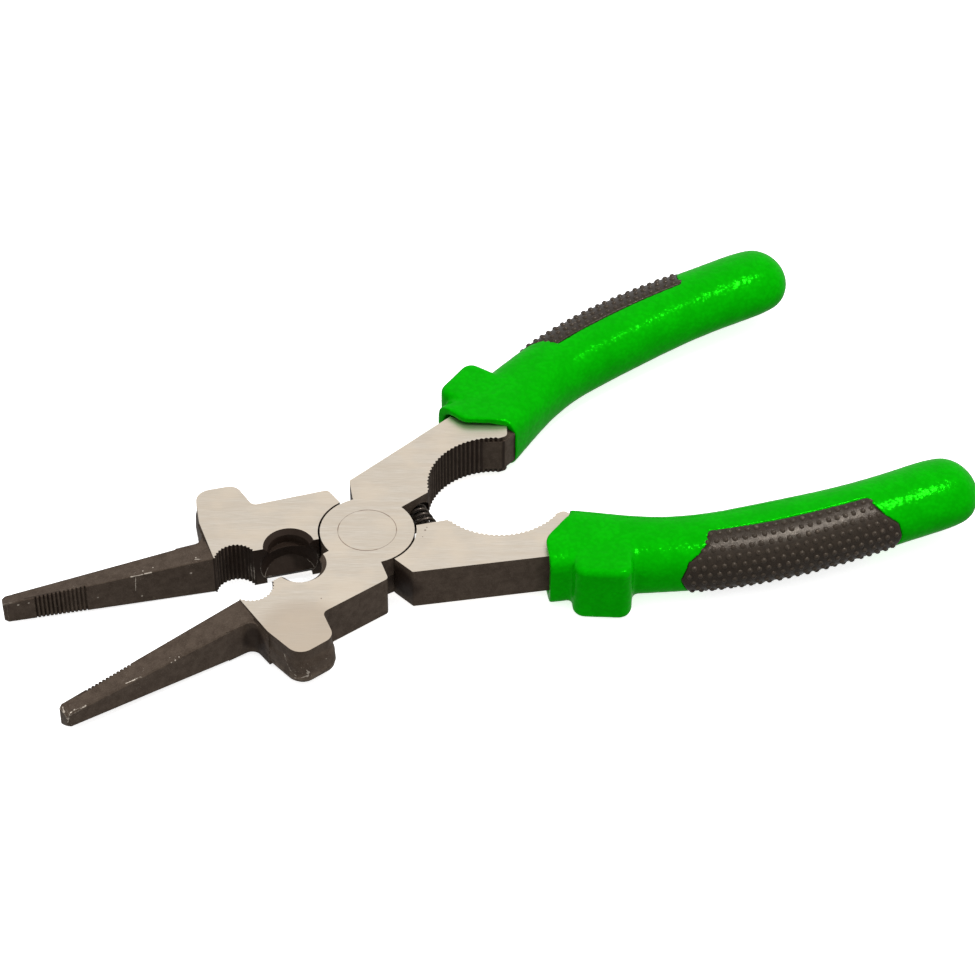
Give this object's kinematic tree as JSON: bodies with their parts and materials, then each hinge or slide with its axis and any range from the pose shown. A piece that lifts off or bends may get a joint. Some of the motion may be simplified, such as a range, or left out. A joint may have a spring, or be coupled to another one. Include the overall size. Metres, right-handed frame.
{
  "type": "spring-loaded welding pliers",
  "caption": "Lap-joint welding pliers with long toothed noses, tip notch, wire cutter, hammer lugs, nozzle grip, return spring and dipped handles with dotted rubber pads",
  "frame": {"origin": "on the pivot axis, in the ground face on the underside of the joint", "axes": "+Z is the pivot axis, up through the thickness; +X runs from the pivot to the handles along the line midway between them, so the jaws point along -X; +Y is towards the upper half's handle"},
  "size_m": [0.2059, 0.0996, 0.0144],
  "materials": {
    "lower_half_steel": "ground faces, black oxide sides",
    "upper_half_steel": "ground faces, black oxide sides",
    "rivet_steel": "ground flush",
    "spring_wire": "black oxide wire",
    "lower_sleeve_pvc": "fine leather grain, satin",
    "upper_sleeve_pvc": "fine leather grain, satin",
    "lower_pad_rubber": "matte with raised dots",
    "upper_pad_rubber": "matte with raised dots"
  },
  "bodies": {
    "lower_lever": {"lower_half": "lower_half_steel", "pivot_rivet": "rivet_steel", "lower_sleeve": "lower_sleeve_pvc", "lower_pad": "lower_pad_rubber", "return_spring": "spring_wire"},
    "upper_lever": {"upper_half": "upper_half_steel", "upper_sleeve": "upper_sleeve_pvc", "upper_pad": "upper_pad_rubber"}
  },
  "joints": [
    {"name": "jaw_pivot", "type": "hinge", "parent": "lower_lever", "child": "upper_lever", "pos_m": [0, 0, 0.00515], "axis": [0, 0, 1], "range_deg": [-23.5, 15.5], "stiffness_Nm_per_rad": 1, "deforming": ["return_spring"]}
  ]
}
